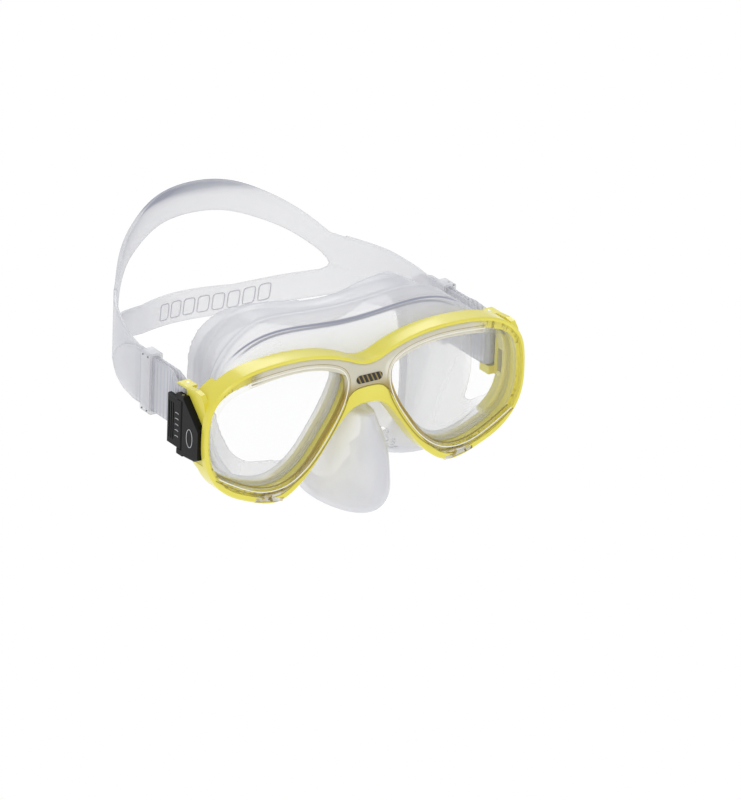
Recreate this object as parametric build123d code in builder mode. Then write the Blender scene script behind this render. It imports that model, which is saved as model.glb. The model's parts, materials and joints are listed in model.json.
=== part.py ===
from build123d import *
from math import radians, tan
import os

# A twin-lens dive mask with a split strap. Millimetres, +Z up.
# The origin is the centre of the face seal at eye height: -Y looks forward out of the lenses,
# +X is the wearer's left. Left-hand pieces are modelled, and right-hand ones are their mirror images.

# ---- driving dimensions ----
FRONT_Y = -42.0            # front plane of the clear retainer
RETAINER_BACK_Y = -39.4
FRAME_FRONT_Y = -41.6      # front edge of the coloured frame's rim, round the retainer
FRAME_BACK_Y = -31.0
FRAME_LIP = 2.0            # thickness of the frame's rear lip, which traps the skirt
LENS_EDGE = 1.0            # hidden lens edge outside the lens opening
LENS_THICKNESS = 3.0
FIT = 0.1                  # gap between pieces that snap together
SKIRT_WALL = 2.0
SEAT_WIDTH = 1.8           # skirt's lens seat, inside the lens opening
NECK_INSET = 0.5           # skirt's neck through the rear lip, inside the lens opening
HEAD_RADIUS = 112.0        # face curve that the sealing rim follows, seen from above
HEAD_LEAN = 8.0            # degrees that the sealing rim leans
HEAD_FRONT_Y = -6.0        # rim on the centre line, at eye height
NOSE_WALL = 2.0

STRAP_THICKNESS = 1.5
STRAP_LOW, STRAP_HIGH = -6.5, 16.0      # strap edges where it folds round the roller
RUN_HIGH = 18.0            # strap's upper edge along its straight run
STRAP_CLEAR = 0.3
LAYER_GAP = 0.2            # between the strap and its folded tail
ROLLER_X, ROLLER_Y = 76.2, -20.0
ROLLER_RADIUS = 1.5
ROLLER_PIN_RADIUS = 0.7
RUN_CLEARANCE = 0.05       # radial clearance of each turning fit
STRAIGHT_END_Y = 20.0      # end of the strap's straight run behind the roller
TAIL_START_Y = -3.0        # where the folded tail comes to lie on the strap
TAIL_END_Y = 38.0
BACK_Y = 105.0             # back of the lower band

LUG_INNER_X, LUG_OUTER_X = 77.0, 79.4
LUG_LOW, LUG_HIGH = -10.5, 18.0
CHEEK_HIGH = 17.4
CHEEK_INNER_X = 74.2
CHEEK_START_Y, CHEEK_END_Y = -24.2, -16.5
SLOT_Y, SLOT_Z, SLOT_LENGTH, SLOT_HEIGHT = -28.2, -3.0, 3.6, 10.5
COLLAR_START_X, COLLAR_END_Y = 68.0, -25.2
COLLAR_GAP, COLLAR_WALL = 1.4, 1.4     # collar's inner face outside the lens opening, and its wall
BUCKLE_OUTER_X = 82.4
BUCKLE_FRONT_Y, BUCKLE_REAR_Y = -37.8, -25.9
BUCKLE_FRONT_TOP = 3.3     # height of the base's front edge, below its slanted top
LEVER_LOW, LEVER_HIGH = -10.0, 11.6
LEVER_END_Y = -13.5
LEVER_INNER_X = 79.9
TOOTH_Y = -16.5
HINGE_X, HINGE_Y = 81.15, -24.4
HINGE_PIN_RADIUS = 0.6
EAR_THICKNESS = 2.4

KEEPER_START, KEEPER_END = 7.0, 14.0
KEEPER_WALL = 1.3

CLIP_X, CLIP_Z, CLIP_TILT = 48.0, -34.3, 10.0
CLIP_LENGTH, CLIP_HEIGHT = 14.0, 1.8
CLIP_BACK_Y, CLIP_FRONT_Y = -34.0, -41.2
BADGE_Z = 11.2
BADGE_LENGTH, BADGE_HEIGHT = 13.0, 3.6
BADGE_BACK_Y, BADGE_FRONT_Y = -41.4, -42.3

# ---- outlines, seen from the front (x, z), left half ----
LENS_OPENING = [
    (12.5, 15), (22, 19), (40, 21), (58, 19.2), (73, 13), (76.5, -1), (72.5, -17.5),
    (58.5, -26.5), (43.5, -29.2), (32.5, -24), (21.5, -11), (12.3, 5),
]
FRAME_OUTLINE = [
    (0, 18.8), (9, 21.4), (22, 25.6), (36, 27.3), (50, 27), (66.5, 23.6), (78, 14), (80.8, 0), (79, -15),
    (70.5, -26.5), (57, -33.4), (42.5, -36.2), (32, -30.3), (20, -16.2), (9.5, -3.4), (0, -0.6),
]
RETAINER_OUTLINE = [
    (0, 17.4), (9, 19.9), (22, 24.1), (36, 25.8), (50, 25.5), (65.5, 22.2), (76.6, 13), (79.3, 0), (77.3, -14.2),
    (68.8, -24.8), (56, -31), (43, -33.4), (33.8, -28.2), (23, -15), (13.8, -1.5), (8.5, 5.2), (0, 7.2),
]
# Skirt sections from the frame back to the face: y, then half outlines from the top centre.
SKIRT_SECTIONS = [
    (-31.0, [(0, 17), (24, 23.5), (48, 24), (66, 18.5), (76.4, 0), (73, -17),
             (58, -29.5), (42, -32.5), (28, -23), (13.5, -7), (0, -3)]),
    (-27.0, [(0, 29), (25, 31.5), (47, 30.5), (64.5, 21.5), (73.2, 1), (70, -19),
             (56, -33), (40, -36.5), (26, -29), (12.5, -15), (0, -10)]),
    (-10.0, [(0, 32.5), (25, 35), (46, 34), (60.5, 23.5), (66, 0), (62, -22),
             (50, -38.5), (37, -43.5), (24.5, -40), (11.5, -36), (0, -34)]),
    (16.0, [(0, 34.5), (23, 37), (43, 35.5), (56, 24), (60, 0), (57, -24),
            (47, -41.5), (35, -47), (23, -46.5), (11, -45.5), (0, -45)]),
]
# Nose pocket sections from the bridge down: z, half width, front y, back y.
NOSE_SECTIONS = [
    (-5.0, 5.5, -44.5, -22.0),
    (-18.0, 11.5, -50.0, -8.0),
    (-34.0, 16.0, -53.5, 2.0),
    (-45.0, 15.5, -50.5, 6.0),
    (-50.0, 10.5, -44.0, 0.0),
]
# Strap centre line, seen from above (x, y), left half, from the straight run to the back.
STRAIGHT_X = ROLLER_X - ROLLER_RADIUS - STRAP_CLEAR - STRAP_THICKNESS / 2
FOLD_X = ROLLER_X + ROLLER_RADIUS + STRAP_CLEAR + STRAP_THICKNESS / 2
TAIL_X = STRAIGHT_X + STRAP_THICKNESS + LAYER_GAP
FLANK = [(STRAIGHT_X, STRAIGHT_END_Y), (72.2, 34), (66, 52), (54, 70.5)]
LOWER_BAND = [*FLANK, (36, 89), (18, 100.5), (0, BACK_Y)]
UPPER_BAND = [*FLANK, (43, 82.5), (29, 91), (15, 96), (0, 97.5)]
# Strap edges, seen from the side (y, z).
CROTCH = (70, 10.5)
LOWER_EDGES = [
    (-32, STRAP_LOW), (22, STRAP_LOW), (45, -4.5), (70, -4.5), (86, -11), (98, -17), (110, -19.5),
    (110, -5.5), (98, -3.5), (85, 3), CROTCH, (70, 25), (45, 22.5), (22, RUN_HIGH),
    (-9, RUN_HIGH), (-15, STRAP_HIGH), (-32, STRAP_HIGH),
]
UPPER_EDGES = [
    (62, 8), CROTCH, (79, 19.5), (90, 29), (96, 34), (104, 36),
    (104, 51), (94, 46.5), (83, 36), (72, 26), (62, 24),
]
TAIL_TOP = [(22, RUN_HIGH), (31, 15), (TAIL_END_Y, 9), (TAIL_END_Y, 40), (22, 40)]
TAIL_BOTTOM = [(22, STRAP_LOW), (31, -4), (TAIL_END_Y, 1.5), (TAIL_END_Y, -20), (22, -20)]

os.makedirs("parts", exist_ok=True)


def save(part, name):
    part.label = name
    export_step(part, f"parts/{name}.step")


def save_pair(part, name):
    save(mirror(part, about=Plane.YZ), f"{name}_right")
    save(part, f"{name}_left")


def facing(y):
    """The upright plane at this y, looking forward: its own x and y are the mask's X and Z."""
    return Plane.XZ.offset(-y)


def moved_outwards(base, points, grow):
    """The points of a clockwise outline, moved out of it by this much."""
    moved = []
    for point in points:
        along = base % base.param_at_point(Vector(*point))
        moved.append(Vector(*point) + Vector(-along.Y, along.X) * grow)
    return moved


def half_face(points, grow=0.0):
    """Adds a face from the left half of an outline, grown by this much, and its mirror image."""
    with BuildLine() as edge:
        base = Spline(points, tangents=[(1, 0), (-1, 0)], mode=Mode.PRIVATE)
        Spline(moved_outwards(base, points, grow), tangents=[(1, 0), (-1, 0)])
        mirror(about=Plane.YZ)
    make_face(edge.edges())


def opening_edge(grow):
    """Draws the left lens opening, grown by this much all round."""
    base = Spline(LENS_OPENING, periodic=True, mode=Mode.PRIVATE)
    Spline(moved_outwards(base, LENS_OPENING, grow), periodic=True)


def opening_faces(grow):
    """Adds both lens openings, grown by this much all round."""
    with BuildLine() as edge:
        opening_edge(grow)
    hole = make_face(edge.edges(), mode=Mode.PRIVATE)
    add(hole)
    add(mirror(hole, about=Plane.YZ, mode=Mode.PRIVATE))


def band_face(points, ends):
    """Adds a band's section seen from above: a run round the back of the head, and more line at its ends."""
    with BuildLine() as centre:
        Spline(points, tangents=[(0, 1), (-1, 0)])
        add(ends)
        mirror(about=Plane.YZ)
    trace(centre.edges(), line_width=STRAP_THICKNESS)


def badge_face():
    """Adds the bridge badge's outline."""
    with Locations((0, BADGE_Z)):
        SlotOverall(BADGE_LENGTH, BADGE_HEIGHT)


def clip_face(side, grow):
    """Adds a snap clip's outline under one lens, grown by this much all round."""
    with Locations(Location((side * CLIP_X, CLIP_Z, 0), (0, 0, side * CLIP_TILT))):
        Rectangle(CLIP_LENGTH + 2 * grow, CLIP_HEIGHT + 2 * grow)


# ---- frame: the coloured shell that holds both lenses ----
with BuildPart() as frame:
    with BuildSketch(facing(FRAME_BACK_Y)):
        half_face(FRAME_OUTLINE)
    extrude(amount=FRAME_BACK_Y - FRAME_FRONT_Y)
    chamfer(frame.faces().sort_by(Axis.Y)[0].edges(), length=0.6)
    chamfer(frame.faces().sort_by(Axis.Y)[-1].edges(), length=1.2)
    # a collar behind each temple, round the skirt
    with BuildSketch(facing(COLLAR_END_Y)):
        opening_faces(COLLAR_GAP + COLLAR_WALL)
        Rectangle(2 * COLLAR_START_X, 200, mode=Mode.SUBTRACT)
    extrude(amount=COLLAR_END_Y - FRAME_BACK_Y)
    with BuildSketch(facing(COLLAR_END_Y)):
        opening_faces(COLLAR_GAP)
    extrude(amount=COLLAR_END_Y - FRAME_BACK_Y, mode=Mode.SUBTRACT)
    # side lugs: a plate beside each lens, with two cheeks that carry the strap roller
    for side in (1, -1):
        with BuildSketch(Plane.YZ.offset(side * (LUG_INNER_X + LUG_OUTER_X) / 2)):
            with BuildLine():
                Polyline(
                    (-39.4, LUG_LOW + 2), (-39.4, 8), (-37, 15), (-34.5, LUG_HIGH - 0.5), (-31, LUG_HIGH),
                    (CHEEK_START_Y, CHEEK_HIGH), (CHEEK_END_Y - 1, CHEEK_HIGH), (CHEEK_END_Y, CHEEK_HIGH - 0.6),
                    (CHEEK_END_Y, STRAP_HIGH + STRAP_CLEAR),
                    (CHEEK_START_Y, STRAP_HIGH + STRAP_CLEAR), (CHEEK_START_Y, STRAP_LOW - STRAP_CLEAR),
                    (CHEEK_END_Y, STRAP_LOW - STRAP_CLEAR), (CHEEK_END_Y, LUG_LOW + 1.5),
                    (CHEEK_END_Y - 1.5, LUG_LOW), (-38, LUG_LOW), close=True,
                )
            make_face()
        extrude(amount=(LUG_OUTER_X - LUG_INNER_X) / 2, both=True)
        cheek_x = side * (CHEEK_INNER_X + LUG_OUTER_X) / 2
        for low, high in ((LUG_LOW, STRAP_LOW - STRAP_CLEAR), (STRAP_HIGH + STRAP_CLEAR, CHEEK_HIGH)):
            with Locations((cheek_x, (CHEEK_START_Y + CHEEK_END_Y - 1) / 2, (low + high) / 2)):
                Box(LUG_OUTER_X - CHEEK_INNER_X, CHEEK_END_Y - 1 - CHEEK_START_Y, high - low)
        with Locations((side * ROLLER_X, ROLLER_Y, 0)):
            Cylinder(ROLLER_PIN_RADIUS, 80, mode=Mode.SUBTRACT)
        # a slot in the lug, closed outside by the buckle base
        with Locations((side * LUG_OUTER_X, SLOT_Y, SLOT_Z)):
            Box(12, SLOT_LENGTH, SLOT_HEIGHT, mode=Mode.SUBTRACT)
        # the flat that the buckle base sits on
        with Locations((side * (LUG_OUTER_X + 5), BUCKLE_FRONT_Y + 12.2, 1)):
            Box(10, 25, 28.5, mode=Mode.SUBTRACT)
    # the retainer's bed, the lens seats, and a rear lip that traps the skirt
    with BuildSketch(facing(RETAINER_BACK_Y)):
        half_face(RETAINER_OUTLINE, FIT)
    extrude(amount=10, mode=Mode.SUBTRACT)
    with BuildSketch(facing(FRAME_BACK_Y - FRAME_LIP)):
        opening_faces(LENS_EDGE + FIT)
    extrude(amount=20, mode=Mode.SUBTRACT)
    with BuildSketch(facing(FRAME_BACK_Y + 5)):
        opening_faces(FIT - NECK_INSET)
    extrude(amount=20, mode=Mode.SUBTRACT)
    # pockets for the snap clips
    for side in (1, -1):
        with BuildSketch(facing(CLIP_BACK_Y)):
            clip_face(side, FIT)
        extrude(amount=12, mode=Mode.SUBTRACT)
save(frame.part, "main_frame")

# ---- retainer: the clear front plate that holds the lenses in ----
with BuildPart() as retainer:
    with BuildSketch(facing(RETAINER_BACK_Y)):
        half_face(RETAINER_OUTLINE)
    extrude(amount=RETAINER_BACK_Y - FRONT_Y)
    chamfer(retainer.faces().sort_by(Axis.Y)[0].edges(), length=0.7)
    with BuildSketch(facing(FRAME_BACK_Y)):
        opening_faces(0)
    extrude(amount=20, mode=Mode.SUBTRACT)
    with BuildSketch(facing(BADGE_BACK_Y)):
        badge_face()
    extrude(amount=5, mode=Mode.SUBTRACT)
save(retainer.part, "lens_retainer")

# ---- lenses: flat tempered glass ----
with BuildPart() as lens:
    with BuildSketch(facing(RETAINER_BACK_Y + FIT + LENS_THICKNESS)):
        with BuildLine() as lens_edge:
            opening_edge(LENS_EDGE)
        make_face(lens_edge.edges())
    extrude(amount=LENS_THICKNESS)
save_pair(lens.part, "lens")

# ---- skirt: soft seal with a nose pocket, open towards the face ----
def skirt_loft(inset, first_y):
    """A solid through the skirt's sections, each drawn in by the wall thickness."""
    with BuildPart() as body:
        for y, points in SKIRT_SECTIONS:
            middle_z = (points[0][1] + points[-1][1]) / 2
            inner = [(x * (1 - inset / 70), z - inset * (1 if z > middle_z else -1)) for x, z in points]
            with BuildSketch(facing(max(y, first_y))):
                half_face(inner)
        loft()
    return body.part


def nose_loft(inset):
    """A solid through the nose pocket's level sections, each drawn in by the wall thickness."""
    with BuildPart() as body:
        for z, half_width, front, back in NOSE_SECTIONS:
            lift = {NOSE_SECTIONS[0][0]: -inset, NOSE_SECTIONS[-1][0]: inset}.get(z, 0)
            with BuildSketch(Plane.XY.offset(z + lift)):
                with Locations((0, (front + back) / 2)):
                    Ellipse(half_width - inset, (back - front) / 2 - inset)
        loft()
    return body.part


with BuildPart() as skirt:
    add(skirt_loft(0, FRAME_BACK_Y))
    add(nose_loft(0))
    add(skirt_loft(SKIRT_WALL, FRAME_BACK_Y + SKIRT_WALL), mode=Mode.SUBTRACT)
    add(nose_loft(NOSE_WALL), mode=Mode.SUBTRACT)
    # lens seats: a ring behind each lens, with a neck through the frame's lip to the front wall
    seat_front = RETAINER_BACK_Y + LENS_THICKNESS + 2 * FIT
    seat_back = FRAME_BACK_Y - FRAME_LIP - FIT
    with BuildSketch(facing(seat_back)):
        opening_faces(LENS_EDGE - FIT)
    extrude(amount=seat_back - seat_front)
    with BuildSketch(facing(FRAME_BACK_Y + SKIRT_WALL)):
        opening_faces(-NECK_INSET)
    extrude(amount=FRAME_BACK_Y + SKIRT_WALL - seat_back)
    with BuildSketch(facing(FRAME_BACK_Y + 10)):
        opening_faces(-SEAT_WIDTH)
    extrude(amount=30, mode=Mode.SUBTRACT)
    # the sealing rim follows the face
    with Locations(Location((0, HEAD_FRONT_Y + HEAD_RADIUS, 0), (-HEAD_LEAN, 0, 0))):
        Cylinder(HEAD_RADIUS, 300, mode=Mode.SUBTRACT)
save(skirt.part, "skirt")

# ---- strap: one soft loop, split behind the head, folded back round both rollers ----

def side_profile(points):
    """Adds a face from an outline seen from the side (y, z)."""
    with BuildLine() as edge:
        Polyline(points, close=True)
    make_face(edge.edges())


with BuildPart() as upper_band:
    with BuildSketch():
        band_face(UPPER_BAND, [])
    extrude(amount=60)
    with BuildSketch(Plane.YZ):
        side_profile(UPPER_EDGES)
    extrude(amount=100, both=True, mode=Mode.INTERSECT)

with BuildPart() as strap:
    with BuildLine(mode=Mode.PRIVATE) as fold:
        Line((STRAIGHT_X, STRAIGHT_END_Y), (STRAIGHT_X, ROLLER_Y))
        ThreePointArc((STRAIGHT_X, ROLLER_Y), (ROLLER_X, ROLLER_Y - FOLD_X + ROLLER_X), (FOLD_X, ROLLER_Y))
        Spline((FOLD_X, ROLLER_Y), (TAIL_X, TAIL_START_Y), tangents=[(0, 1), (0, 1)])
        Line((TAIL_X, TAIL_START_Y), (TAIL_X, TAIL_END_Y))
    with BuildSketch(Plane.XY.offset(-30)):
        band_face(LOWER_BAND, fold.edges())
    extrude(amount=60)
    with BuildSketch(Plane.YZ):
        side_profile(LOWER_EDGES)
    extrude(amount=100, both=True, mode=Mode.INTERSECT)
    add(upper_band.part)
    # the free tails narrow to a rounded tongue
    for side in (1, -1):
        with BuildSketch(Plane.YZ.offset(side * (TAIL_X + 4))):
            side_profile(TAIL_TOP)
            side_profile(TAIL_BOTTOM)
        extrude(amount=4 + STRAP_THICKNESS / 2 + 0.1, both=True, mode=Mode.SUBTRACT)
save(strap.part, "strap")

# ---- strap rollers and their pins ----
with BuildPart() as roller:
    with Locations((ROLLER_X, ROLLER_Y, (STRAP_LOW + STRAP_HIGH) / 2)):
        Cylinder(ROLLER_RADIUS, STRAP_HIGH - STRAP_LOW)
        Cylinder(ROLLER_PIN_RADIUS + RUN_CLEARANCE, STRAP_HIGH - STRAP_LOW, mode=Mode.SUBTRACT)
save_pair(roller.part, "strap_roller")

with BuildPart() as roller_pin:
    with Locations((ROLLER_X, ROLLER_Y, (LUG_LOW + CHEEK_HIGH) / 2)):
        Cylinder(ROLLER_PIN_RADIUS, CHEEK_HIGH - LUG_LOW)
save_pair(roller_pin.part, "roller_pin")

# ---- buckles: a base on each lug and a lever that clamps the strap's tail ----
ear_top, ear_bottom = LEVER_HIGH + STRAP_CLEAR, LEVER_LOW - STRAP_CLEAR
with BuildPart() as buckle_base:
    with BuildSketch(Plane.YZ.offset(LUG_OUTER_X)):
        side_profile([
            (BUCKLE_FRONT_Y, ear_bottom), (BUCKLE_FRONT_Y, BUCKLE_FRONT_TOP),
            (BUCKLE_REAR_Y - 0.4, ear_top + EAR_THICKNESS), (BUCKLE_REAR_Y, ear_top + EAR_THICKNESS),
            (BUCKLE_REAR_Y, ear_bottom - EAR_THICKNESS), (BUCKLE_FRONT_Y + 3, ear_bottom - EAR_THICKNESS + 0.8),
        ])
    extrude(amount=BUCKLE_OUTER_X - LUG_OUTER_X)
    outer_face = buckle_base.faces().sort_by(Axis.X)[-1]
    chamfer(outer_face.edges().filter_by(Axis.Z, reverse=True), length=0.6)
    ear_inner_x = LEVER_INNER_X - 0.1
    for z, reach in ((ear_top, 5.5), (ear_bottom - EAR_THICKNESS, 4.5)):
        corner = (ear_inner_x, BUCKLE_REAR_Y - 0.5, z)
        with Locations(corner):
            Box(BUCKLE_OUTER_X - ear_inner_x, reach, EAR_THICKNESS, align=Align.MIN)
    with Locations((HINGE_X, HINGE_Y, 0)):
        Cylinder(HINGE_PIN_RADIUS, 80, mode=Mode.SUBTRACT)
save_pair(buckle_base.part, "buckle_base")

lever_middle_z = (LEVER_LOW + LEVER_HIGH) / 2
lever_height = LEVER_HIGH - LEVER_LOW
lever_thickness = BUCKLE_OUTER_X - LEVER_INNER_X
with BuildPart() as lever:
    with Locations(((LEVER_INNER_X + BUCKLE_OUTER_X) / 2, (HINGE_Y + LEVER_END_Y) / 2, lever_middle_z)):
        Box(lever_thickness, LEVER_END_Y - HINGE_Y, lever_height)
    rear_edges = lever.edges().filter_by(Axis.Z).group_by(Axis.Y)[-1]
    fillet(rear_edges.sort_by(Axis.X)[-1], radius=1.6)
    # finger ridges along the free end
    for row in range(3):
        with Locations((BUCKLE_OUTER_X, LEVER_END_Y - 2.6 - 1.5 * row, lever_middle_z)):
            Box(0.8, 0.6, lever_height - 5, mode=Mode.SUBTRACT)
    # the tooth that bites the ribbed tail
    with Locations((LEVER_INNER_X, TOOTH_Y, lever_middle_z)):
        Box(0.8, 1.4, lever_height - 2)
    with Locations((HINGE_X, HINGE_Y, lever_middle_z)):
        Cylinder(lever_thickness / 2, lever_height)
        Cylinder(HINGE_PIN_RADIUS + RUN_CLEARANCE, lever_height, mode=Mode.SUBTRACT)
save_pair(lever.part, "buckle_lever")

with BuildPart() as lever_pin:
    pin_low, pin_high = ear_bottom - EAR_THICKNESS, ear_top + EAR_THICKNESS
    with Locations((HINGE_X, HINGE_Y, (pin_low + pin_high) / 2)):
        Cylinder(HINGE_PIN_RADIUS, pin_high - pin_low)
save_pair(lever_pin.part, "lever_pin")

# ---- keepers: clear loops that hold each tail against the strap ----
with BuildPart() as keeper:
    hole_x = (STRAIGHT_X - STRAP_THICKNESS / 2 - STRAP_CLEAR, TAIL_X + STRAP_THICKNESS / 2 + STRAP_CLEAR)
    hole_z = (STRAP_LOW - STRAP_CLEAR, RUN_HIGH + STRAP_CLEAR)
    with BuildSketch(facing(KEEPER_END)):
        with Locations(((hole_x[0] + hole_x[1]) / 2, (hole_z[0] + hole_z[1]) / 2)):
            width, height = hole_x[1] - hole_x[0], hole_z[1] - hole_z[0]
            RectangleRounded(width + 2 * KEEPER_WALL, height + 2 * KEEPER_WALL, KEEPER_WALL)
            Rectangle(width, height, mode=Mode.SUBTRACT)
    extrude(amount=KEEPER_END - KEEPER_START)
save_pair(keeper.part, "strap_keeper")

# ---- retainer clips: clear snap hooks under each lens ----
with BuildPart() as clip:
    with BuildSketch(facing(CLIP_BACK_Y)):
        clip_face(1, 0)
    extrude(amount=CLIP_BACK_Y - CLIP_FRONT_Y)
save_pair(clip.part, "retainer_clip")

# ---- bridge badge: a plain inset pad ----
with BuildPart() as badge:
    with BuildSketch(facing(BADGE_BACK_Y)):
        badge_face()
    extrude(amount=BADGE_BACK_Y - BADGE_FRONT_Y)
save(badge.part, "bridge_badge")
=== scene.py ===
"""Looks of a twin-lens snorkel mask.

Clear silicone skirt and split strap, lemon frame, clear retainer and black buckles.
"""

import json
import math

import bmesh
import bpy
from mathutils import Matrix, Vector


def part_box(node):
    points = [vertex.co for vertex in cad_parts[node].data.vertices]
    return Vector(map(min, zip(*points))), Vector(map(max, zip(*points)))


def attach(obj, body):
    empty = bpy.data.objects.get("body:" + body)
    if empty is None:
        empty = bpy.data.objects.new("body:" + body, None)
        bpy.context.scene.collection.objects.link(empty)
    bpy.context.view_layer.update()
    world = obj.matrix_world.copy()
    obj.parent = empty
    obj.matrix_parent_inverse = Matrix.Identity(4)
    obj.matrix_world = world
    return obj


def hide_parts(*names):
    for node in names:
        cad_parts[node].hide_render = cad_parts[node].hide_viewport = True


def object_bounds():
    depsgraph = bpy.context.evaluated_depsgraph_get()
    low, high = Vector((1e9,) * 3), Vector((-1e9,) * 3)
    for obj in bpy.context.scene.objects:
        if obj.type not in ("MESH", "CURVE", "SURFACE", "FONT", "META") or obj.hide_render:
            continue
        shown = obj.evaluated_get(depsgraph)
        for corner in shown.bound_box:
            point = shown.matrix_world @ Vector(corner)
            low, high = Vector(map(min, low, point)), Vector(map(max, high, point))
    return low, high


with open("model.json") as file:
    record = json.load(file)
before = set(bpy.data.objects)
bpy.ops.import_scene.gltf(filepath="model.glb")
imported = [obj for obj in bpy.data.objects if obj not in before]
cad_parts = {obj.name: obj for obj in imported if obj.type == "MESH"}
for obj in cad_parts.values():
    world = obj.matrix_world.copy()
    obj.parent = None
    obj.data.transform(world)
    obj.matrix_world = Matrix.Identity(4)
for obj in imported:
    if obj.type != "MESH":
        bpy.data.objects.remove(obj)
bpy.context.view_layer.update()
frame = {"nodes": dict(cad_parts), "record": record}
MM = 0.001

# ---- sizes that several pieces share, in millimetres ----
GROOVE_Y = -24.6                                  # the skirt's groove over the brow
RIB_PITCH = 2.6                                   # the ribs on the strap's tails
BUCKLE_FACE_X = 82.4                              # the buckles' outer faces

# ---- camera and lights ----
AZIMUTH, ELEVATION, ROLL = -35.0, 24.0, 2.2       # degrees
DISTANCE = 3.0
LENS_MM = 322.65
LENS_FRONT = Vector((0, -0.042, 0))               # middle of the retainer's front plane
AIM_RIGHT, AIM_UP = 0.00084, 0.00084              # the middle of the view beside that point
WORLD_COLOUR, WORLD_STRENGTH = (0.97, 0.98, 1.0, 1.0), 0.72


def add_camera():
    """A long lens, so the mask shows almost without perspective, tilted a little about its own axis."""
    azimuth, elevation, roll = (math.radians(v) for v in (AZIMUTH, ELEVATION, ROLL))
    back = Vector((math.sin(azimuth) * math.cos(elevation), -math.cos(azimuth) * math.cos(elevation),
                   math.sin(elevation)))
    level = Vector((math.cos(azimuth), math.sin(azimuth), 0))
    upright = back.cross(level)
    right = level * math.cos(roll) + upright * math.sin(roll)
    up = upright * math.cos(roll) - level * math.sin(roll)
    data = bpy.data.cameras.new("camera")
    data.lens = LENS_MM
    data.sensor_width = 36.0
    data.clip_end = 50.0
    camera = bpy.data.objects.new("camera", data)
    bpy.context.collection.objects.link(camera)
    place = LENS_FRONT + back * DISTANCE + right * AIM_RIGHT + up * AIM_UP
    camera.matrix_world = Matrix((right, up, back)).transposed().to_4x4()
    camera.matrix_world.translation = place
    bpy.context.scene.camera = camera


def add_area_light(name, place, target, size, power, colour=(1, 1, 1)):
    data = bpy.data.lights.new(name, "AREA")
    data.shape = "RECTANGLE"
    data.size, data.size_y = size
    data.energy = power
    data.color = colour
    light = bpy.data.objects.new(name, data)
    bpy.context.collection.objects.link(light)
    light.location = place
    light.rotation_euler = (Vector(target) - Vector(place)).to_track_quat("-Z", "Y").to_euler()


def add_studio():
    """An even pale world, with two soft boxes for the highlights."""
    world = bpy.data.worlds.new("studio")
    world.use_nodes = True
    background = world.node_tree.nodes["Background"]
    background.inputs["Color"].default_value = WORLD_COLOUR
    background.inputs["Strength"].default_value = WORLD_STRENGTH
    bpy.context.scene.world = world
    bpy.context.scene.view_settings.view_transform = "Standard"
    add_area_light("key", (-0.45, -0.6, 1.0), (0, 0, 0), (0.5, 0.5), 2.2)
    add_area_light("rim", (0.5, 0.7, 0.6), (0, 0, 0), (0.7, 0.3), 1.6)


add_camera()
add_studio()


# ---- materials ----
class Look:
    """A Principled material under construction."""

    def __init__(self, name, colour, roughness, **settings):
        self.material = bpy.data.materials.new(name)
        self.material.use_nodes = True
        self.tree = self.material.node_tree
        self.shader = self.tree.nodes["Principled BSDF"]
        self.set("Base Color", (*colour, 1.0))
        self.set("Roughness", roughness)
        for socket, value in settings.items():
            self.set(socket.replace("_", " "), value)

    def set(self, socket, value):
        self.shader.inputs[socket].default_value = value

    def node(self, kind, inputs=None, **settings):
        made = self.tree.nodes.new(kind)
        for name, value in settings.items():
            setattr(made, name, value)
        for name, value in (inputs or {}).items():
            if isinstance(value, bpy.types.NodeSocket):
                self.tree.links.new(value, made.inputs[name])
            else:
                made.inputs[name].default_value = value
        return made

    def plug(self, output, socket):
        self.tree.links.new(output, self.shader.inputs[socket])

    def place(self):
        """The point in the mask's own frame, in metres."""
        return self.node("ShaderNodeTexCoord").outputs["Object"]

    def axes(self):
        return self.node("ShaderNodeSeparateXYZ", {0: self.place()}).outputs

    def grain(self, scale, strength, depth=0.0002, detail=3.0):
        """A fine moulded texture."""
        noise = self.node("ShaderNodeTexNoise", {"Vector": self.place(), "Scale": scale, "Detail": detail})
        bump = self.node("ShaderNodeBump",
                         {"Height": noise.outputs[0], "Strength": strength, "Distance": depth})
        self.plug(bump.outputs[0], "Normal")
        return noise.outputs[0]

    def ramp(self, factor, stops):
        made = self.node("ShaderNodeValToRGB", {0: factor})
        elements = made.color_ramp.elements
        while len(elements) < len(stops):
            elements.new(0.5)
        for element, (position, colour) in zip(elements, stops):
            element.position = position
            element.color = (*colour, 1.0)
        return made.outputs[0]

    def span(self, value, low, high, out_low=0.0, out_high=1.0):
        """The value's place between low and high, on a smooth curve."""
        made = self.node("ShaderNodeMapRange", {0: value, 1: low, 2: high, 3: out_low, 4: out_high},
                         interpolation_type="SMOOTHSTEP")
        return made.outputs[0]

    def maths(self, operation, a, b=0.0):
        return self.node("ShaderNodeMath", {0: a, 1: b}, operation=operation).outputs[0]

    def add(self, a, b):
        return self.maths("ADD", a, b)

    def times(self, a, b):
        return self.maths("MULTIPLY", a, b)

    def least(self, a, b):
        return self.maths("MINIMUM", a, b)

    def veil(self, face_on, edge_on, blend=0.4):
        """Thin where it is looked at face on, and dense at its edges."""
        facing = self.node("ShaderNodeLayerWeight", {"Blend": blend}).outputs["Facing"]
        self.plug(self.span(facing, 0.0, 1.0, face_on, edge_on), "Alpha")


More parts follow.
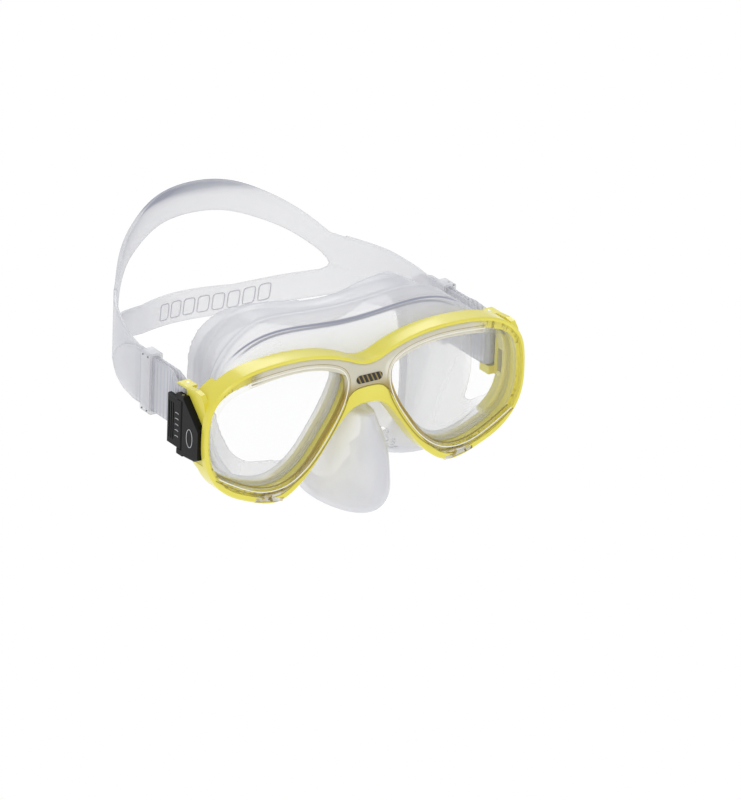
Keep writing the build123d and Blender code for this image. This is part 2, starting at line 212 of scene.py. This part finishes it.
def silicone(name, face_on, edge_on):
    """Clear silicone: a pale lilac-grey veil, dustily mottled, with painted shade where it is seen edge on.
    Gives the look, its shade and its opacity.
    """
    look = Look(name, (0.80, 0.80, 0.85), 0.24, IOR=1.41)
    facing = look.node("ShaderNodeLayerWeight", {"Blend": 0.4}).outputs["Facing"]
    cloud = look.grain(55.0, 0.25, 0.0006)
    # painted shade: the colour darkens where the silicone is seen edge on, mixed with a dusty mottle
    shade = look.add(look.times(facing, 0.8), look.times(cloud, 0.2))
    veil = look.span(facing, 0.0, 1.0, face_on, edge_on)
    return look, shade, veil


# pale lilac-grey down to dark: the darker stops carry the silicone's painted shade
PALE_STOPS = [(0.0, (0.93, 0.93, 0.945)), (0.4, (0.84, 0.84, 0.87)), (0.75, (0.66, 0.67, 0.72)),
              (1.0, (0.36, 0.37, 0.45))]


def skirt_look():
    """The skirt's silicone, with a painted shade line in the groove over the brow and milky thick rims."""
    look, shade, veil = silicone("skirt_silicone", 0.26, 0.88)
    x, y, z = look.axes()
    side = look.maths("ABSOLUTE", x)
    off_line = look.maths("ABSOLUTE", look.add(y, -GROOVE_Y * MM))
    # painted shade: a dark line along the groove over the brow, in the colour and a denser alpha
    line = look.times(look.span(off_line, 0.0008, 0.0002), look.span(z, 0.024, 0.029))
    rim = look.span(y, -0.006, 0.000)
    nose = look.times(look.span(side, 0.022, 0.014), look.span(y, -0.024, -0.034))
    temple = look.span(side, 0.063, 0.069)
    look.plug(look.ramp(look.least(look.add(shade, line), 1.0), PALE_STOPS), "Base Color")
    dense = look.add(look.times(line, 0.7), look.times(look.add(rim, nose), 0.14))
    thin = look.maths("SUBTRACT", 1.0, look.times(temple, 0.75))
    look.plug(look.times(look.least(look.add(veil, dense), 1.0), thin), "Alpha")
    return look


def strap_look():
    """The strap's silicone, with painted shade: darker along the rib rows beside the buckles and in the upper
    band's cupped middle.
    """
    look, shade, veil = silicone("strap_silicone", 0.42, 0.95)
    _, y, z = look.axes()
    # painted shade: darker stripes between the tail's rib rows and a darker patch in the upper band's cupped
    # middle
    wave = look.maths("SINE", look.times(y, math.tau / (RIB_PITCH * MM)))
    rib_shade = look.times(look.span(wave, -0.5, 0.7), look.span(y, 0.024, 0.016))
    hollow_shade = look.times(look.span(y, 0.080, 0.092), look.span(z, 0.0405, 0.0455))
    dark = look.add(look.times(rib_shade, 0.40), look.times(hollow_shade, 0.55))
    look.plug(look.ramp(look.least(look.add(shade, dark), 1.0), PALE_STOPS), "Base Color")
    look.plug(look.least(look.add(veil, look.times(dark, 0.5)), 1.0), "Alpha")
    return look


def keeper_look():
    look, shade, veil = silicone("keeper_silicone", 0.30, 0.95)
    # painted shade towards the keepers' edges, as on all the silicone
    look.plug(look.ramp(shade, PALE_STOPS), "Base Color")
    look.plug(veil, "Alpha")
    return look


def yellow_look():
    """Opaque lemon plastic, faintly clouded."""
    look = Look("frame_yellow", (0.84, 0.76, 0.10), 0.30, Coat_Weight=0.35, Coat_Roughness=0.1)
    cloud = look.grain(40.0, 0.10, 0.0003)
    look.plug(look.ramp(cloud, [(0.3, (0.84, 0.74, 0.07)), (0.7, (0.88, 0.80, 0.11))]), "Base Color")
    return look


def retainer_look():
    """Clear polycarbonate: pale over the brows, with painted shade, golden brown, beside the nose, and
    painted glints low by the clips.
    """
    look = Look("retainer_clear", (0.9, 0.85, 0.7), 0.06, IOR=1.58, Coat_Weight=0.5)
    x, _, z = look.axes()
    side = look.maths("ABSOLUTE", x)
    nose = look.times(look.span(side, 0.044, 0.022), look.span(z, 0.013, 0.004))
    brow = look.times(look.span(z, 0.004, 0.012), look.span(side, 0.062, 0.052))
    # painted glints: speckles of white, gold and brown over the clear ring low beside the clips
    glint_cells = look.node("ShaderNodeTexVoronoi", {"Vector": look.place(), "Scale": 420.0}).outputs["Color"]
    spark = look.node("ShaderNodeSeparateColor", {0: glint_cells}).outputs[0]
    clip = look.times(look.span(z, -0.0310, -0.0325), look.span(side, 0.058, 0.055))
    pale = look.ramp(spark, [(0.0, (0.30, 0.22, 0.06)), (0.35, (0.85, 0.70, 0.30)), (0.7, (1.0, 0.98, 0.90))])
    # painted shade: golden brown beside the nose, tinted like the yellow frame seen through the clear ring
    nose_shade_tint = look.ramp(nose, [(0.0, (1.0, 0.96, 0.80)), (1.0, (0.58, 0.42, 0.07))])
    tint = look.node("ShaderNodeMix", {0: clip, 6: nose_shade_tint, 7: pale}, data_type="RGBA").outputs[2]
    look.plug(tint, "Base Color")
    parts = look.add(look.times(brow, 0.58), look.times(nose, 0.5))
    look.plug(look.add(parts, look.add(look.times(clip, 0.55), 0.06)), "Alpha")
    return look


def lens_look():
    """Tempered glass, almost unseen."""
    look = Look("lens_glass", (0.97, 0.99, 1.0), 0.02, IOR=1.45)
    look.veil(0.03, 0.5, 0.3)
    look.grain(12.0, 0.02, 0.0002)
    return look


def black_look(name, roughness):
    """Black moulded plastic, finely uneven in its gloss."""
    look = Look(name, (0.004, 0.004, 0.005), roughness, Specular_IOR_Level=0.15)
    cloud = look.grain(900.0, 0.25, 0.0001)
    look.plug(look.span(cloud, 0.2, 0.8, roughness - 0.06, roughness + 0.08), "Roughness")
    return look


def badge_look():
    """A plain pad: slanting dark bars."""
    look = Look("badge_dark", (0.02, 0.02, 0.02), 0.3)
    x, _, z = look.axes()
    bars = look.maths("SINE", look.times(look.add(x, look.times(z, 0.5)), 2900.0))
    stops = [(0.0, (0.012, 0.011, 0.010)), (1.0, (0.30, 0.21, 0.05))]
    look.plug(look.ramp(look.span(bars, 0.25, 0.75), stops), "Base Color")
    return look


def steel_look():
    look = Look("steel", (0.62, 0.62, 0.63), 0.28, Metallic=1.0)
    look.grain(600.0, 0.1, 0.0001)
    return look


skirt_silicone, strap_silicone = skirt_look(), strap_look()
looks = {
    "frame_yellow": yellow_look(), "retainer_clear": retainer_look(), "lens_glass": lens_look(),
    "silicone_clear": skirt_silicone, "keeper_clear": keeper_look(),
    "buckle_black": black_look("buckle_black", 0.36), "roller_black": black_look("roller_black", 0.45),
    "badge_dark": badge_look(), "steel": steel_look(),
}
for part in frame["record"]["subparts"]:
    node = frame["nodes"][part["node"]]
    node.data.materials.clear()
    node.data.materials.append(looks[part["material_slot"]].material)
    if part["material_slot"] == "buckle_black":
        rounded = node.modifiers.new("rounded", "BEVEL")
        rounded.width = 0.35 * MM
        rounded.segments = 2
        rounded.limit_method = "ANGLE"
        rounded.angle_limit = math.radians(40)


# ---- meshes ----
def add_piece(name, mesh, look, body="mask_body"):
    piece = bpy.data.objects.new(name, mesh)
    bpy.context.collection.objects.link(piece)
    mesh.materials.clear()
    mesh.materials.append(look.material)
    mesh.shade_smooth()
    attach(piece, body)
    return piece


def tube_mesh(sections, closed=False):
    """A closed skin through sections that all have the same number of points."""
    mesh = bpy.data.meshes.new("tube")
    count = len(sections[0])
    points = [tuple(point) for section in sections for point in section]
    faces = []
    last = len(sections) if closed else len(sections) - 1
    for row in range(last):
        here, there = row * count, (row + 1) % len(sections) * count
        for k in range(count):
            faces.append((here + k, here + (k + 1) % count, there + (k + 1) % count, there + k))
    if not closed:
        faces.append(tuple(range(count))[::-1])
        faces.append(tuple(range((len(sections) - 1) * count, len(sections) * count)))
    mesh.from_pydata(points, [], faces)
    tidy = bmesh.new()
    tidy.from_mesh(mesh)
    bmesh.ops.recalc_face_normals(tidy, faces=tidy.faces)
    tidy.to_mesh(mesh)
    tidy.free()
    return mesh


def worked(meshes, modifiers):
    """One mesh made of these, after these modifiers: (type, settings) pairs."""
    joined = bmesh.new()
    for mesh in meshes:
        joined.from_mesh(mesh)
    mesh = bpy.data.meshes.new("worked")
    joined.to_mesh(mesh)
    joined.free()
    holder = bpy.data.objects.new("holder", mesh)
    bpy.context.collection.objects.link(holder)
    for kind, settings in modifiers:
        modifier = holder.modifiers.new(kind, kind)
        for name, value in settings.items():
            setattr(modifier, name, value)
    graph = bpy.context.evaluated_depsgraph_get()
    result = bpy.data.meshes.new_from_object(holder.evaluated_get(graph))
    bpy.data.objects.remove(holder)
    return result


def bell(value, middle, width):
    return math.exp(-((value - middle) / width) ** 2)


def ease(value, start, end):
    share = min(1.0, max(0.0, (value - start) / (end - start)))
    return share * share * (3 - 2 * share)


# ---- skirt ----
HEAD_RADIUS = 112.0 * MM
HEAD_AXIS = Vector((0, math.sin(math.radians(8)), math.cos(math.radians(8))))
HEAD_MIDDLE = Vector((0, 106.0 * MM, 0))


def head_distance(point):
    """How far the point is from the axis of the round face that the rim fits."""
    return (point - HEAD_MIDDLE).cross(HEAD_AXIS).length


def on_head(x, z):
    """The y at which this x and z meet the face."""
    low, high = -20 * MM, 60 * MM
    for _ in range(30):
        middle = (low + high) / 2
        if head_distance(Vector((x, middle, z))) > HEAD_RADIUS:
            low = middle
        else:
            high = middle
    return low


RIM_STEPS = 120
RIM_MIDDLE_Z = -3.0 * MM
LIP_ROWS = 6
LIP_WIDTH, LIP_NOSE_CUT, LIP_NOSE_WIDTH = 9.0, 5.5, 14      # narrower under the nose
LIP_THICK, LIP_THINNING = 1.5, 0.5                          # at the rim, and how much less at the inner edge


def rim_outline():
    """The skirt's outermost rim, as a loop of (x, z), read from the CAD solid."""
    best = [0.0] * RIM_STEPS
    for vertex in frame["nodes"]["skirt"].data.vertices:
        if abs(head_distance(vertex.co) - HEAD_RADIUS) < 0.05 * MM:
            x, z = vertex.co.x, vertex.co.z - RIM_MIDDLE_Z
            step = round(math.atan2(z, x) / math.tau * RIM_STEPS) % RIM_STEPS
            best[step] = max(best[step], math.hypot(x, z))
    known = [(step, radius) for step, radius in enumerate(best) if radius]
    radii = []
    for step in range(RIM_STEPS):
        before = max((k for k in known if k[0] <= step), default=(known[-1][0] - RIM_STEPS, known[-1][1]))
        after = min((k for k in known if k[0] > step), default=(known[0][0] + RIM_STEPS, known[0][1]))
        share = (step - before[0]) / (after[0] - before[0])
        radii.append(before[1] + (after[1] - before[1]) * share)
    for _ in range(6):
        radii = [sum(radii[(step + k) % RIM_STEPS] for k in (-2, -1, 0, 1, 2)) / 5
                 for step in range(RIM_STEPS)]
    turns = [math.tau * step / RIM_STEPS for step in range(RIM_STEPS)]
    return [(math.cos(a) * r, RIM_MIDDLE_Z + math.sin(a) * r) for a, r in zip(turns, radii)]


def rim_lip():
    """The soft flange that turns inwards from the rim and lies on the face."""
    outline = rim_outline()
    sections = []
    for step, (x, z) in enumerate(outline):
        before, after = outline[step - 1], outline[(step + 1) % RIM_STEPS]
        along = Vector((after[0] - before[0], after[1] - before[1])).normalized()
        inwards = Vector((-along.y, along.x))
        width = (LIP_WIDTH - LIP_NOSE_CUT * bell(x, 0, LIP_NOSE_WIDTH * MM) * (z < 0)) * MM
        face_side, eye_side = [], []
        for k in range(LIP_ROWS + 1):
            reach = width * k / LIP_ROWS
            px, pz = x + inwards.x * (reach + 0.4 * MM), z + inwards.y * (reach + 0.4 * MM)
            surface = on_head(px, pz)
            thickness = (LIP_THICK - LIP_THINNING * k / LIP_ROWS) * MM
            face_side.append((px, surface - 0.05 * MM, pz))
            eye_side.append((px, surface - thickness, pz))
        sections.append(face_side + eye_side[::-1])
    return tube_mesh(sections, closed=True)


def shape_skirt(mesh):
    """Moulded features: brow ridge and groove, a narrower and higher rim, and flats for the fingers."""
    for vertex in mesh.vertices:
        x, y, z = vertex.co / MM
        over = ease(z, 2, 16)
        swell = 0.9 * bell(y, -17.6, 2.4) * over - 0.8 * bell(y, GROOVE_Y, 1.1) * ease(z, 22, 29)
        swell += 0.5 * bell(y, -1.0, 2.5) * over
        out = Vector((x * 0.5, 0, z + 5)).normalized()
        vertex.co += out * swell * MM
        vertex.co.x -= math.copysign(4.5, x) * ease(abs(x), 28, 58) * ease(y, -29, -12) * MM
        vertex.co.z += 3.2 * bell(x, 0, 26) * ease(y, -17, -5) * ease(z, 22, 31) * MM
        beside = ease(-y, 18, 30) * bell(z, -31, 9) * bell(abs(x), 12, 6)
        vertex.co.x -= math.copysign(1.6, x) * beside * MM


skirt_mesh = worked([frame["nodes"]["skirt"].data, rim_lip()],
                    [("REMESH", {"mode": "VOXEL", "voxel_size": 0.8 * MM}),
                     ("SMOOTH", {"factor": 0.5, "iterations": 6})])
shape_skirt(skirt_mesh)
skirt = add_piece("soft_skirt", skirt_mesh, skirt_silicone)
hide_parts("skirt")

# ---- strap ----
ROLLER = Vector((76.2, -20.0))
FOLD_RADIUS = 2.55
STRAIGHT_X, TAIL_X = 73.65, 75.35
FLANK = [(STRAIGHT_X, 20), (72.2, 34), (66, 52), (54, 70.5)]
LOWER_LINE = [*FLANK, (36, 89), (18, 100.5), (0, 105)]
UPPER_LINE = [*FLANK, (43, 82.5), (29, 91), (15, 96), (0, 97.5)]
THICKNESS = 1.5
BAND_TOP = [(-20, 16), (-15, 16), (-9, 18), (22, 18), (45, 22.5), (64, 24.5),
            (69.6, 11.5), (70.4, 9), (73, 7), (85, 2.4), (98, -3.5), (110, -5.5)]
BAND_LOW = [(-20, -6.5), (22, -6.5), (45, -4.5), (70, -4.5), (86, -11), (98, -17), (105, -19)]
UPPER_TOP = [(58, 23), (70, 25), (83, 36), (94, 46.5), (98, 50)]
UPPER_LOW = [(58, 9), (69.6, 10), (70.4, 12.5), (73, 15.5), (80, 21), (90, 29), (96, 34), (98, 35.5)]
TAIL_TOP = [(-20, 16), (-15, 16), (-9, 18), (22, 18), (30, 15.8), (35, 12.5), (37.3, 9.5), (38, 7)]
TAIL_LOW = [(-20, -6.5), (22, -6.5), (30, -4.6), (35, -1.4), (37.3, 2), (38, 4.5)]
TAIL_TIP_Y, TAIL_BEND_Y = 38, -3.2
TAIL_STEP, TAIL_STOPS, BEND_STOPS = 0.4, 103, 42
FOLD_STEPS, SPAN_STEPS = 16, 14


def between(table, value):
    """The table's value there, on a straight line from entry to entry."""
    for (start, first), (end, second) in zip(table, table[1:]):
        if value <= end:
            share = max(0.0, (value - start) / (end - start))
            return first + (second - first) * share
    return table[-1][1]


def line_through(points, first, last):
    """A smooth line through the points, as (x, y) vectors, with these slopes at its ends."""
    spots = [Vector(p) for p in points]
    slopes = [Vector(first)] + [(b - a) / 2 for a, b in zip(spots, spots[2:])] + [Vector(last)]
    line = []
    for a, b, slope_a, slope_b in zip(spots, spots[1:], slopes, slopes[1:]):
        for k in range(SPAN_STEPS):
            t = k / SPAN_STEPS
            line.append(a * (2 * t ** 3 - 3 * t ** 2 + 1) + slope_a * (t ** 3 - 2 * t ** 2 + t)
                        + b * (3 * t ** 2 - 2 * t ** 3) + slope_b * (t ** 3 - t ** 2))
    return line + [spots[-1]]


lower_half = line_through(LOWER_LINE, (0, 12), (-16, 0))
upper_half = line_through(UPPER_LINE, (0, 12), (-14, 0))


def strap_line():
    """The whole left half: (x, y, is it the tail) from the tail's tip round the roller to the back."""
    stops = [(Vector((TAIL_X, TAIL_TIP_Y - TAIL_STEP * k)), True) for k in range(TAIL_STOPS)]
    for k in range(1, BEND_STOPS + 1):
        share = k / BEND_STOPS
        y = TAIL_BEND_Y + (ROLLER.y - TAIL_BEND_Y) * share
        stops.append((Vector((TAIL_X + (ROLLER.x + FOLD_RADIUS - TAIL_X) * ease(share, 0, 1), y)), True))
    for k in range(1, FOLD_STEPS):
        turn = math.pi * k / FOLD_STEPS
        stops.append((ROLLER + Vector((math.cos(turn), -math.sin(turn))) * FOLD_RADIUS, True))
    stops += [(Vector((STRAIGHT_X, ROLLER.y + k)), False) for k in range(40)]
    return stops + [(spot, False) for spot in lower_half]


def band_section(spot, outwards, low, high, thickness, cup, rib):
    """One cross-section of a band, with rounded edges: up its outer face and down its inner one."""
    outer, inner = [], []
    rise = high - low
    round_off = min(0.5, rise / 4)
    heights = [0, round_off * 0.3, round_off,
               *(round_off + (rise - 2 * round_off) * k / 12 for k in range(1, 12)),
               rise - round_off, rise - round_off * 0.3, rise]
    for height in heights:
        edge = min(height, rise - height)
        half = thickness / 2
        if edge < round_off:
            half *= math.sqrt(max(0.12, 1 - (1 - edge / round_off) ** 2))
        bend = cup * (1 - (2 * height / rise - 1) ** 2)
        ridge = rib * ease(edge, 0.8, 2.0)
        outer.append((*((spot + outwards * (bend + half + ridge)) * MM), (low + height) * MM))
        inner.append((*((spot + outwards * (bend - half)) * MM), (low + height) * MM))
    return outer + inner[::-1]


def mirrored(stops):
    """A left half and its mirror image, in one line."""
    return stops + [(Vector((-spot.x, spot.y)), *rest) for spot, *rest in reversed(stops[:-1])]


def band_mesh(stops, table):
    """A band along the stops; the table gives each stop's low and high edge, thickness, cup and rib."""
    spots = [stop[0] for stop in stops]
    sections = []
    for k, stop in enumerate(stops):
        along = (spots[min(k + 1, len(spots) - 1)] - spots[max(k - 1, 0)]).normalized()
        outwards = Vector((-along.y, along.x))
        sections.append(band_section(stop[0], outwards, *table(stop)))
    return tube_mesh(sections)


def lower_table(stop):
    spot, tail = stop
    if tail:
        wave = 0.3 * (1 - math.cos(math.tau * spot.y / RIB_PITCH))
        rib = wave * ease(spot.y, 22, 17) * ease(spot.x, 75, 75.3)
        return between(TAIL_LOW, spot.y), between(TAIL_TOP, spot.y), THICKNESS, 0.0, rib
    return between(BAND_LOW, spot.y), between(BAND_TOP, spot.y), THICKNESS, 0.7 * ease(spot.y, 80, 104), 0.0


def upper_table(stop):
    spot = stop[0]
    thickness = THICKNESS + 0.06 - 0.4 * ease(spot.y, 64, 61)
    return between(UPPER_LOW, spot.y), between(UPPER_TOP, spot.y), thickness, -2.2 * ease(spot.y, 76, 96), 0.0


lower_stops = mirrored(strap_line())
upper_left = [(spot, False) for spot in upper_half if spot.y > 59]
lower_mesh = band_mesh(lower_stops, lower_table)
upper_mesh = band_mesh(mirrored(upper_left), upper_table)
upper_holder = bpy.data.objects.new("upper_holder", upper_mesh)
join = {"operation": "UNION", "solver": "EXACT", "object": upper_holder}
strap_mesh = worked([lower_mesh], [("BOOLEAN", join)])
bpy.data.objects.remove(upper_holder)
strap = add_piece("soft_strap", strap_mesh, strap_silicone)
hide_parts("strap")


# ---- small moulded details ----
def wire(name, loops, radius, look, closed=True, body="mask_body"):
    """Thin rounded lines along these loops of points."""
    data = bpy.data.curves.new(name, "CURVE")
    data.dimensions = "3D"
    data.bevel_depth = radius
    data.bevel_resolution = 2
    for points in loops:
        spline = data.splines.new("NURBS")
        spline.points.add(len(points) - 1)
        for point, place in zip(spline.points, points):
            point.co = (*place, 1.0)
        spline.use_cyclic_u = closed
        spline.use_endpoint_u = not closed
        spline.order_u = 3
        spline.resolution_u = 6
    data.materials.append(look.material)
    piece = bpy.data.objects.new(name, data)
    bpy.context.collection.objects.link(piece)
    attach(piece, body)
    return piece


LENS_OPENING = [
    (12.5, 15), (22, 19), (40, 21), (58, 19.2), (73, 13), (76.5, -1), (72.5, -17.5),
    (58.5, -26.5), (43.5, -29.2), (32.5, -24), (21.5, -11), (12.3, 5),
]
RING_POINTS = range(3, -7, -1)       # from over the brow down beside the nose and back under the lens


def ring_line(side, grow, y, spots=RING_POINTS):
    """A line beside one lens opening, this far outside it, at these points of it."""
    points = []
    count = len(LENS_OPENING)
    for k in spots:
        x, z = LENS_OPENING[k % count]
        before, after = Vector(LENS_OPENING[(k - 1) % count]), Vector(LENS_OPENING[(k + 1) % count])
        along = (after - before).normalized()
        points.append((side * (x - along.y * grow) * MM, y * MM, (z + along.x * grow) * MM))
    return points


# a pale, glossy line along the retainer's step: a painted highlight for the step's glint
step_glint_look = Look("retainer_step_glint", (1.0, 0.97, 0.86), 0.08, Coat_Weight=1.0)
step_glint_look.grain(200.0, 0.05)
shade_look = Look("retainer_shade", (0.40, 0.30, 0.06), 0.15, Alpha=0.8)
shade_look.grain(200.0, 0.05)
print_look = Look("printed_grey", (0.55, 0.56, 0.58), 0.5)
print_look.grain(900.0, 0.1)
for side, word in ((1, "left"), (-1, "right")):
    wire(f"retainer_step_glint_{word}", [ring_line(side, 2.1, -41.95)], 0.25 * MM, step_glint_look,
         closed=False)
    wire(f"retainer_groove_{word}", [ring_line(side, 3.4, -41.9)], 0.16 * MM, shade_look,
         closed=False)
    wire(f"lens_gasket_{word}", [ring_line(side, 0.6, -40.6)], 0.3 * MM, shade_look,
         closed=False)
    # plain printed marks: short bars on the lever and a ring on the base
    outer = side * BUCKLE_FACE_X * MM
    bars = [[(outer, -23.2 * MM, z * MM), (outer, -21.9 * MM, (z + 0.4) * MM), (outer, -20.6 * MM, z * MM)]
            for z in (-5.2, -2.6, 0, 2.6, 5.2)]
    wire(f"lever_marks_{word}", bars, 0.16 * MM, print_look, closed=False,
         body=f"lever_{word}")
    ring = [(outer, (-31.5 + 2.3 * math.cos(turn)) * MM, (-2.5 + 4.2 * math.sin(turn)) * MM)
            for turn in (math.tau * k / 10 for k in range(10))]
    wire(f"base_mark_{word}", [ring], 0.16 * MM, print_look)

# ---- raised relief on the lower band's inner face: a row of plain slanting lozenges ----
LOZENGE_COUNT, LOZENGE_PITCH, LOZENGE_START = 8, 6.8, -12
LOZENGE = [(0, 3.2), (2.6, 3.2), (5.2, 3.2), (5.6, 7), (6.0, 10.6), (3.4, 10.6), (0.8, 10.6), (0.4, 7)]
back_line = lower_half[::-1]


def band_place(along, height):
    """A point on the inner face, this far round from the middle of the back and this high over the edge."""
    left = back_line if along >= 0 else [Vector((-spot.x, spot.y)) for spot in back_line]
    left_to_go = abs(along)
    for here, there in zip(left, left[1:]):
        step = (there - here).length
        if left_to_go <= step:
            spot = here.lerp(there, left_to_go / step)
            inwards = -Vector((spot.x * 0.9, spot.y - 45)).normalized()
            low, high = between(BAND_LOW, spot.y), between(BAND_TOP, spot.y)
            bend = 0.7 * ease(spot.y, 80, 104) * (1 - (2 * height / (high - low) - 1) ** 2)
            spot = spot + inwards * (THICKNESS / 2 + bend)
            return spot.x * MM, spot.y * MM, (low + height) * MM
        left_to_go -= step
    return None


relief_look = Look("relief", (0.62, 0.62, 0.67), 0.25, Alpha=0.75)
relief_look.grain(300.0, 0.1)
lozenges = []
for k in range(LOZENGE_COUNT):
    start = LOZENGE_START + LOZENGE_PITCH * k
    lozenges.append([band_place(start + along, height) for along, height in LOZENGE])
wire("band_relief", lozenges, 0.22 * MM, relief_look)


# ---- studs on the keepers ----
STUD_RADIUS, STUD_INSET, STUD_SINK = 0.45, 1.6, 0.1
STUD_Y = (8.6, 12.4)


def dot(name, place, radius, look, body):
    mesh = bpy.data.meshes.new(name)
    ball = bmesh.new()
    bmesh.ops.create_uvsphere(ball, u_segments=12, v_segments=8, radius=radius)
    bmesh.ops.translate(ball, verts=ball.verts, vec=place)
    ball.to_mesh(mesh)
    ball.free()
    return add_piece(name, mesh, look, body)


stud_look = Look("stud", (0.16, 0.16, 0.17), 0.3)
stud_look.grain(500.0, 0.1)
for side, word in ((1, "left"), (-1, "right")):
    low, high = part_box(f"strap_keeper_{word}")
    outer = high[0] - STUD_SINK * MM if side > 0 else low[0] + STUD_SINK * MM
    spots = [(y, z) for z in (high[2] / MM - STUD_INSET, low[2] / MM + STUD_INSET) for y in STUD_Y]
    for k, (y, z) in enumerate(spots):
        dot(f"keeper_stud_{word}_{k}", (outer, y * MM, z * MM), STUD_RADIUS * MM, stud_look,
            f"keeper_{word}")

# ---- floor: a white sweep that gives its own light, as in a catalogue picture ----
FLOOR_HALF, FLOOR_GAP = 3, 0.0005
low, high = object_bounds()
floor_mesh = bpy.data.meshes.new("floor")
corners = [(x * FLOOR_HALF, y * FLOOR_HALF, 0) for x, y in ((-1, -1), (1, -1), (1, 1), (-1, 1))]
floor_mesh.from_pydata(corners, [], [(0, 1, 2, 3)])
floor = bpy.data.objects.new("floor", floor_mesh)
floor.location.z = low[2] - FLOOR_GAP
bpy.context.collection.objects.link(floor)
sweep = Look("white_sweep", (0.0, 0.0, 0.0), 1.0,
             Emission_Color=(1.0, 1.0, 1.0, 1.0), Emission_Strength=1.0)
sweep.set("Specular IOR Level", 0.0)
floor_mesh.materials.append(sweep.material)
